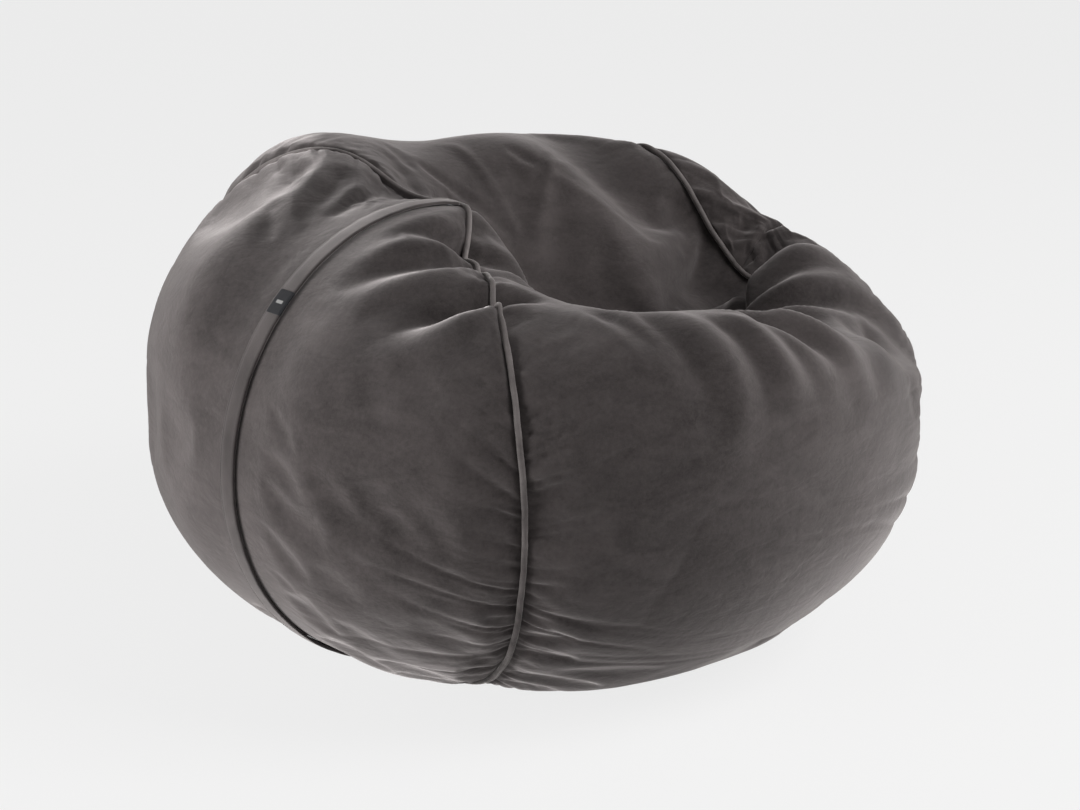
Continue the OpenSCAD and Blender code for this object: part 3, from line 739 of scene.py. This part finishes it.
flap_velvet = join(Base_Color=(brushed * 0.8 + (pile - 0.5) * 0.5 + 0.1).between(
    (0.0222, 0.0184, 0.0180), (0.070, 0.0598, 0.0588)), Roughness=0.92 - brushed * 0.12,
    Normal=pile.relief(0.0006, 0.35, over=brushed.relief(0.0008, 0.4)))


def with_ends(p):
    """The faces of a grid that closes on itself, and one face over each end."""
    n, m = p.shape[:2]
    return grid_quads(n, m).tolist() + [list(range(m - 1))[::-1], [(n - 1) * m + i for i in range(m - 1)]]


flap = fabric_piece("zip_flap_velvet", p, with_ends(p), flap_velvet, "velvet", "zip_flap")


# the topstitching, one short thread after another
at, join = finish_of("sewing thread", Roughness=0.55, Sheen_Weight=0.2)
strands = at.grain(900, 1, 0.5)
thread = join(Base_Color=strands.between((0.055, 0.049, 0.046), (0.115, 0.103, 0.097)),
              Normal=strands.relief(0.0003, 0.6))
stitch_every, stitch_half, stitch_r, stitch_y, hem = 0.0035, 0.00125, 0.00028, 0.0120, 0.012
stitch_points, stitch_faces = [], []
for at_run in np.arange(hem, flap_run[-1] - hem, stitch_every):
    mid = flap_low + math.degrees(at_run / flap_r)
    first = len(stitch_points) * 6
    for part, thin in ((-1, 0.25), (-0.64, 0.9), (0, 1.0), (0.64, 0.9), (1, 0.25)):
        a = mid + math.degrees(part * stitch_half / flap_r)
        arch, thick = 0.3256 + 0.0004 * (1 - part ** 2), stitch_r * thin
        stitch_points.append([on_zip(a, arch + thick * math.sin(t), stitch_y + thick * math.cos(t))
                              for t in np.arange(6) * math.pi / 3])
    for part in range(4):
        for t in range(6):
            b = first + part * 6
            stitch_faces.append([b + t, b + (t + 1) % 6, b + 6 + (t + 1) % 6, b + 6 + t])
    stitch_faces += [[first + t for t in range(5, -1, -1)], [first + 24 + t for t in range(6)]]
stitching = fabric_piece("flap_topstitching", np.array(stitch_points), stitch_faces, thread, "velvet")


# ---------- label ----------
# A near-black woven satin label is folded round the free edge of the flap and stitched at both
# ends. It is plain but for a pale woven bar.
label_at, label_half, label_rows = 45, 0.018, 37
label_angle = label_at + np.linspace(-1, 1, label_rows) * math.degrees(label_half / zip_r)
# section round the flap's free edge and back, Y and radius in mm
label_section = [(11.0, 326.9), (10.4, 327.15), (6, 327.2), (0, 327.25), (-6, 327.2), (-11, 327.1),
                 (-14.4, 327.0), (-16.0, 326.2), (-16.5, 324.7), (-16.1, 323.0), (-15.4, 322.6),
                 (-15.6, 324.2), (-15.3, 325.7), (-14.0, 326.35), (-6, 326.5), (0, 326.55),
                 (6, 326.5), (11.0, 326.4)]
waves = [0.1 * noise(np.arange(label_rows) / 6, 140 + k) for k in range(3)]
p = np.stack([on_zip(label_angle, (radius + waves[k % 3]) / 1000, y / 1000)
              for k, (y, radius) in enumerate(label_section + label_section[:1])], 1)
at, join = finish_of("label satin", Specular_IOR_Level=0.25)
cut = at.part("Y")
rise = at.part("Z")
across, along = (rise * 5200.0).maths("SINE"), (cut * 3900.0).maths("SINE")
ribs = (across * 0.5 + 0.5) * 0.6 + (along * 0.5 + 0.5) * 0.4
bar = ((cut + 0.0025).maths("ABSOLUTE").maths("LESS_THAN", 0.0062)
       * (rise - 0.5632).maths("ABSOLUTE").maths("LESS_THAN", 0.0017))
cloth = ribs.between((0.006, 0.006, 0.0075), (0.016, 0.016, 0.019))
label_satin = join(Base_Color=bar.between(cloth, (0.36, 0.355, 0.35)), Roughness=0.62 - ribs * 0.14,
                   Normal=ribs.relief(0.0002, 0.7))
label = fabric_piece("label_woven", p, with_ends(p), label_satin, "label", "label")


# ---------- zips ----------
# Nylon coil zips on woven tape with plated sliders and stops, one in the cover and one in the
# liner. The CAD shapes stay; the tape gets its herringbone and the coil its turns.
def repaint(material, *nodes):
    for name in nodes:
        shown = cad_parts[name]
        shown.data.materials.clear()
        shown.data.materials.append(material)


def tape_cloth(name, dark, light):
    at, join = finish_of(name, Roughness=0.85, Sheen_Weight=0.15)
    y = at.part("Y")
    z = at.part("Z")
    bands = ((y * 1570.0).maths("SINE").maths("SIGN") * y + z) * 4200.0
    twill = bands.maths("SINE") * 0.5 + 0.5
    fibre = at.grain(700, 2, 0.6)
    return join(Base_Color=(twill * 0.6 + fibre * 0.4).between(dark, light),
                Normal=(twill * 0.7 + fibre * 0.3).relief(0.0003, 0.6))


def coil_nylon(name, dark, light):
    at, join = finish_of(name, Roughness=0.42, Coat_Weight=0.1)
    x = at.part("X")
    z = at.part("Z")
    turn, coil_pitch = (z - zip_z).maths("ARCTAN2", zip_x - x), 0.0015
    turns = (turn * (2 * math.pi * zip_r / coil_pitch)).maths("SINE") * 0.5 + 0.5
    # the colour darkens between the turns: painted shade between them
    return join(Base_Color=turns.between(dark, light), Normal=turns.relief(0.0008, 0.9))


repaint(tape_cloth("cover zip tape", (0.022, 0.020, 0.019), (0.048, 0.044, 0.042)),
        "zip_tape_front", "zip_tape_back")
repaint(tape_cloth("liner zip tape", (0.46, 0.45, 0.42), (0.62, 0.61, 0.58)),
        "liner_tape_front", "liner_tape_back")
repaint(coil_nylon("cover zip coil", (0.010, 0.0095, 0.009), (0.040, 0.038, 0.036)),
        "zip_coil_front", "zip_coil_back")
repaint(coil_nylon("liner zip coil", (0.40, 0.39, 0.37), (0.66, 0.65, 0.62)),
        "liner_coil_front", "liner_coil_back")
at, join = finish_of("plated zip metal", Metallic=0.95)
worn = at.grain(240, 3, 0.6, 0.3)
repaint(join(Base_Color=worn.between((0.20, 0.20, 0.21), (0.36, 0.36, 0.37)),
             Roughness=0.30 + worn * 0.25, Normal=worn.relief(0.0002, 0.4)),
        "zip_top_stop", "zip_low_stop", "zip_slider", "liner_top_stop", "liner_low_stop", "liner_slider")


# ---------- liner and beads ----------
# Inside the cover a plain woven liner holds the foam beads. Both follow the cover's folds a few
# millimetres below it, and sink in a trench along the zips.
def lowest(height, round_rows):
    """Each point's lowest neighbour within four rows and four columns."""
    for axis, mode in ((0, "wrap" if round_rows else "edge"), (1, "edge")):
        wide = np.pad(height, [(4, 4) if a == axis else (0, 0) for a in (0, 1)], mode=mode)
        height = np.min([np.take(wide, range(k, k + height.shape[axis]), axis) for k in range(9)], 0)
    return height


# how far the cover's lowest point near each liner point stands off the bare shape
lows = [lowest(np.sum((p - skin(places)) * n, -1), k == 0)[::4, ::4]
        for k, (places, p, n) in enumerate(zip(fine, velvet_points, velvet_bare))]
# pieces that share a seam take the lower of their two heights there, so the liner has no step
for k, (side, half) in enumerate(halves * 2):
    panel, edge = lows[1 + k % 4], 0 if side < 0 else -1
    rows, pair = np.arange(len(panel)) * half % len(lows[0]), lows[2 + k % 4 // 2 * 2]
    panel[:, -1] = lows[0][rows, edge] = np.minimum(lows[0][rows, edge], panel[:, -1])
    panel[:, 0] = pair[:, 0] = np.minimum(panel[:, 0], pair[:, 0])
    panel[0], panel[-1] = panel[0, -1], panel[-1, -1]


def sunk(k, step, slack):
    """Grid k of the cover, sunk by step and by slack where the filling hangs loose."""
    places = coarse[k][::2, ::2]
    p, n = skin(places), out(places)
    deg = zip_degrees(p)
    trench = ((1 - blend(0.028, 0.110, np.abs(p[..., 1]))) * (1 - blend(104, 120, deg))
              * (1 - blend(zip_low + 3, zip_low + 18, -deg)) * (p[..., 0] <= 0))
    off_floor = blend(0, 0.150, p[..., 2])
    flat = 0.00255 + 0.0095 * off_floor
    depth = flat + np.maximum(0, 0.0125 - flat) * trench
    p = p + (lows[k] * (1 - trench) - depth - step - slack * np.maximum(off_floor, trench))[..., None] * n
    return np.concatenate([p[..., :2], np.maximum(p[..., 2:], 0.0026 + step)], -1)


def inner_piece(name, step, slack, slit, material, slot, *nodes):
    """All five sunken grids as one piece, with a slit over the zip where it has one."""
    points, faces, first = [], [], 0
    for k in range(5):
        p = sunk(k, step, slack)
        if k and halves[k - 1][0] < 0 and slit:
            v = np.linspace(0, 1, p.shape[1])[None]
            p[..., 1] += halves[k - 1][1] * 0.8 * half_slit(p) * (1 - v) ** 2
        n, m = p.shape[:2]
        flip = k > 0 and halves[k - 1][0] * halves[k - 1][1] > 0
        faces.append(grid_quads(n, m, k == 0, flip) + first)
        points.append(p.reshape(-1, 3))
        first += n * m
    return fabric_piece(name, np.concatenate(points), np.concatenate(faces), material, slot, *nodes)


at, join = finish_of("liner cloth", Roughness=0.88, Sheen_Weight=0.1)
y = at.part("Y")
z = at.part("Z")
threads = 5200.0
weave = (y * threads).maths("SINE") * (z * threads).maths("SINE") * 0.5 + 0.5
slub = at.grain(160, 3, 0.6)
liner_cloth = join(Base_Color=(weave * 0.5 + slub * 0.5).between((0.56, 0.55, 0.52), (0.70, 0.69, 0.66)),
                   Normal=(weave * 0.5 + slub * 0.5).relief(0.0004, 0.6))
liner = inner_piece("liner_cloth", 0, 0, True, liner_cloth, "liner", "liner_front", "liner_back")
at, join = finish_of("foam beads", Roughness=0.8, Subsurface_Weight=0.05)
balls = at.node("ShaderNodeTexVoronoi", {"feature": "F1"}, {"Vector": at, "Scale": 240}, out="Distance")
# each bead is lighter at its middle and darker towards its edge: painted shade between the beads
foam_beads = join(Base_Color=balls.within(0.2, 0.7).between((0.90, 0.90, 0.88), (0.62, 0.62, 0.60)),
                  Normal=(1 - balls).relief(0.003, 0.8))
beads = inner_piece("bead_filling", 0.0012, 0.006, False, foam_beads, "beads", "bead_fill")


# ---------- room ----------
# A plain pale floor and soft studio light: walls that glow near eye level, a low window on
# either side and one high in front on the right. The floor and walls look plain white.
def shown_rays(tree):
    """1 for rays from the camera, a gloss or glass, and 0 for those that light the bag."""
    camera, gloss, glass = (Wire(tree).node("ShaderNodeLightPath", out="Is " + kind + " Ray")
                            for kind in ("Camera", "Glossy", "Transmission"))
    return (camera + gloss + glass).maths("MINIMUM", 1.0)


floor = mesh_from("floor", [(-9, -9, 0), (9, -9, 0), (9, 9, 0), (-9, 9, 0)], [[0, 1, 2, 3]])
pale = bpy.data.materials.new("pale floor")
pale.use_nodes = True
tree = pale.node_tree
plain = tree.nodes["Principled BSDF"]
plain.inputs["Base Color"].default_value = (0.66, 0.66, 0.655, 1)
plain.inputs["Roughness"].default_value = 0.9
glow = Wire(tree).node("ShaderNodeEmission", None, {"Color": (1, 1, 1, 1), "Strength": 1.0})
mixed = Wire(tree).node("ShaderNodeMixShader", None, {
    0: shown_rays(tree) * 0.80, 1: Wire(tree, plain.outputs[0]), 2: glow})
tree.links.new(mixed.socket, tree.nodes["Material Output"].inputs["Surface"])
floor.data.materials.append(pale)

world = bpy.data.worlds.new("studio")
bpy.context.scene.world = world
world.use_nodes = True
tree = world.node_tree
tree.nodes.clear()
sky, rays = Wire(tree), shown_rays(tree)
ahead = sky.node("ShaderNodeTexCoord", out="Generated")
wall_glow = 1 - ahead.part("Z").maths("ABSOLUTE").within(0.0, 0.45)
level = rays + (1 - rays) * (wall_glow * 0.60 + 0.08)
light = sky.node("ShaderNodeBackground", None, {"Color": (1, 1, 1, 1), "Strength": level})
last = tree.nodes.new("ShaderNodeOutputWorld")
tree.links.new(light.socket, last.inputs["Surface"])


def lamp(name, place, aim, wide, high, power):
    made = bpy.data.objects.new(name, bpy.data.lights.new(name, "AREA"))
    made.data.shape, made.data.size, made.data.size_y, made.data.energy = "RECTANGLE", wide, high, power
    made.location = place
    made.rotation_mode = "QUATERNION"
    made.rotation_quaternion = (Vector(aim) - Vector(place)).to_track_quat("-Z", "Y")
    bpy.context.scene.collection.objects.link(made)


lamp("left window", (-3.3, 1.5, 0.50), (0, 0, 0.25), 2.4, 0.9, 120)
lamp("right window", (3.3, -2.2, 0.7), (0, 0, 0.25), 2.4, 1.2, 45)
lamp("high window", (1.3, -2.7, 2.9), (0, 0, 0.4), 2.0, 2.0, 85)

bpy.context.scene.view_settings.view_transform = "Standard"
